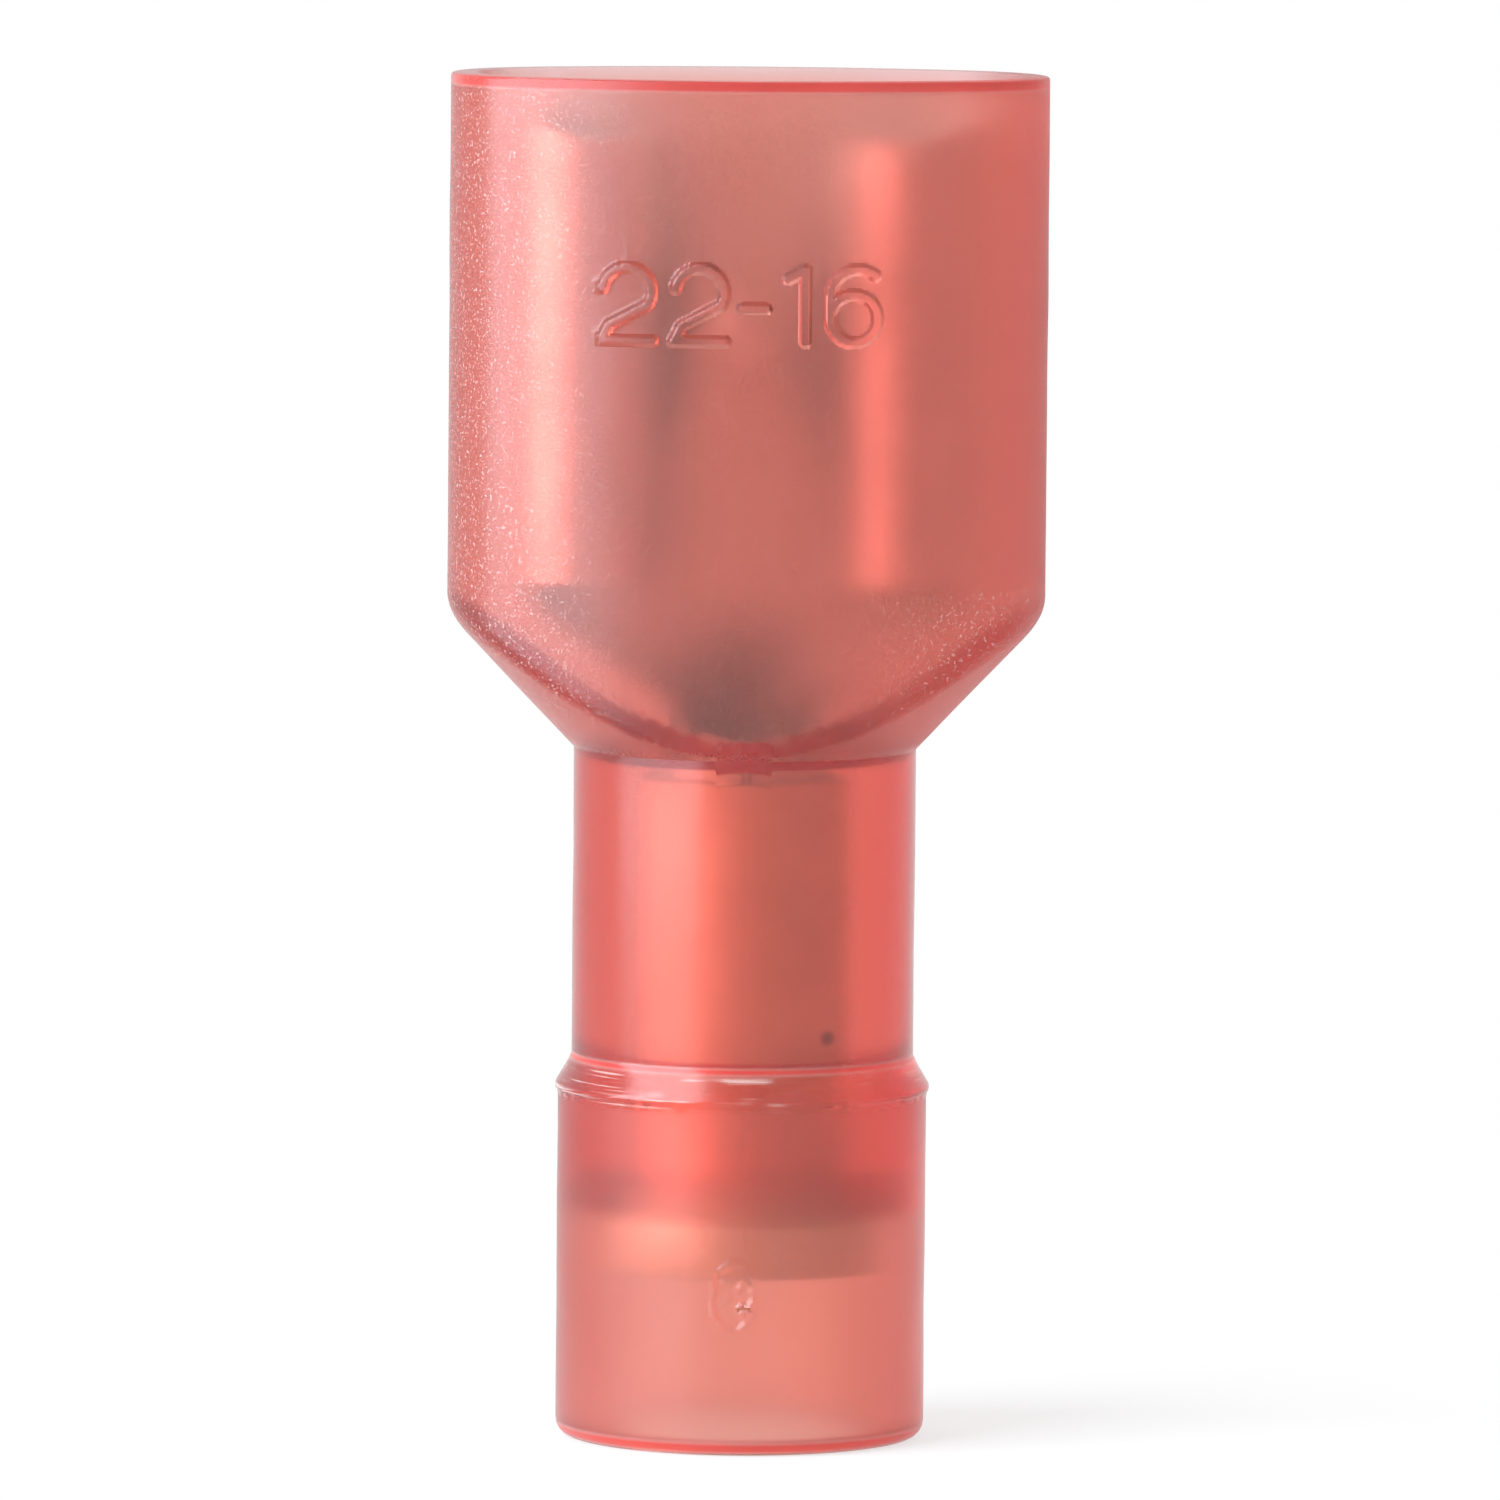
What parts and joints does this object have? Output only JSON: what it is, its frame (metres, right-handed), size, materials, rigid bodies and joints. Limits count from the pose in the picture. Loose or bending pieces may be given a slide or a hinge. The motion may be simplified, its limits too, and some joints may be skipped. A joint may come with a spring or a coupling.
{
  "type": "female spade terminal",
  "caption": "Fully insulated female spade terminal: a rolled receptacle and wire barrel inside a red nylon housing with an oval shroud and a round insulation grip.",
  "frame": {"origin": "centre of the wire-entry end, on the axis of the wire barrel", "axes": "+Z along the wire barrel towards the tab mouth, +X across the shroud's width, +Y towards the flat floor of the receptacle, so its rolled edges face -Y"},
  "size_m": [0.0094, 0.0058, 0.0214],
  "materials": {
    "red_nylon": "translucent red nylon, satin outside",
    "tin_plated_brass": "tin plated, satin",
    "tin_plated_copper": "tin plated, satin"
  },
  "bodies": {
    "root": {"nylon_housing": "red_nylon", "female_terminal": "tin_plated_brass", "grip_sleeve": "tin_plated_copper"}
  },
  "joints": []
}
